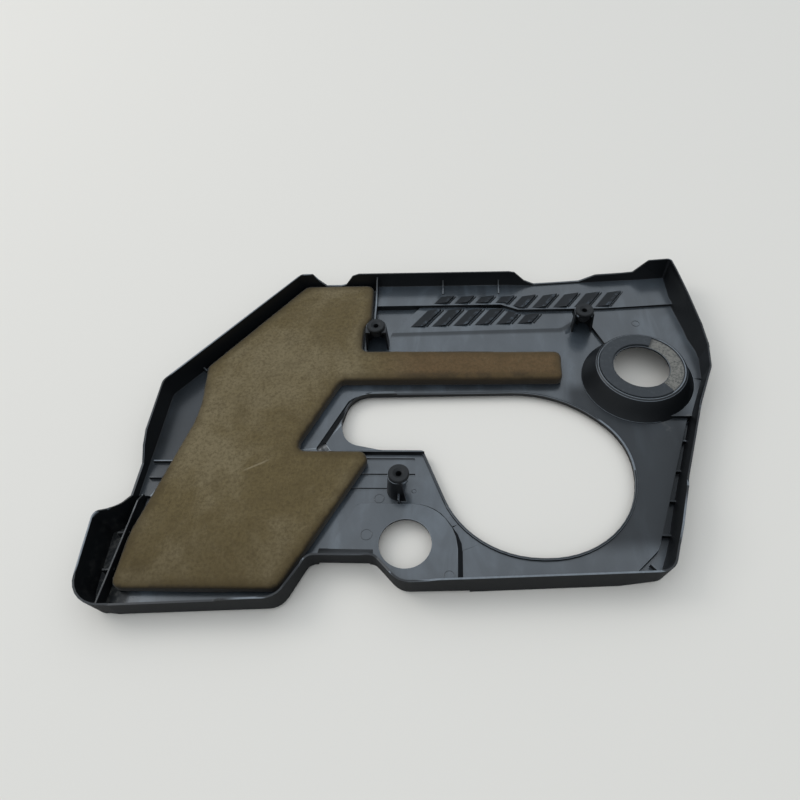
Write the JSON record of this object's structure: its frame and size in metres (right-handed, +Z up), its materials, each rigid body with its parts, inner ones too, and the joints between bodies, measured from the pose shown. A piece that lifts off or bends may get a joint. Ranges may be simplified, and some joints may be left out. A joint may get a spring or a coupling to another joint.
{
  "type": "engine cover",
  "caption": "Moulded plastic engine cover lying inner side up, with a filler collar, a pear-shaped opening, push-fit rubber grommets and a felt pad.",
  "frame": {"origin": "centre of the outline in plan, at the lowest point of the decorated face, on which the cover lies", "axes": "+X along the long side, +Y towards the back edge, +Z up out of the hollow, towards the engine in use"},
  "size_m": [0.6088, 0.4243, 0.04],
  "materials": {
    "cover_plastic": "satin black moulding with grey dust",
    "pad_felt": "olive brown needled felt, stained",
    "grommet_rubber": "matte black rubber",
    "gasket_rubber": "matte dark grey rubber foam"
  },
  "bodies": {
    "root": {"cover_shell": "cover_plastic", "foam_pad": "pad_felt", "grommet_upper_left": "grommet_rubber", "grommet_upper_right": "grommet_rubber", "grommet_lower": "grommet_rubber", "filler_gasket": "gasket_rubber"}
  },
  "joints": []
}
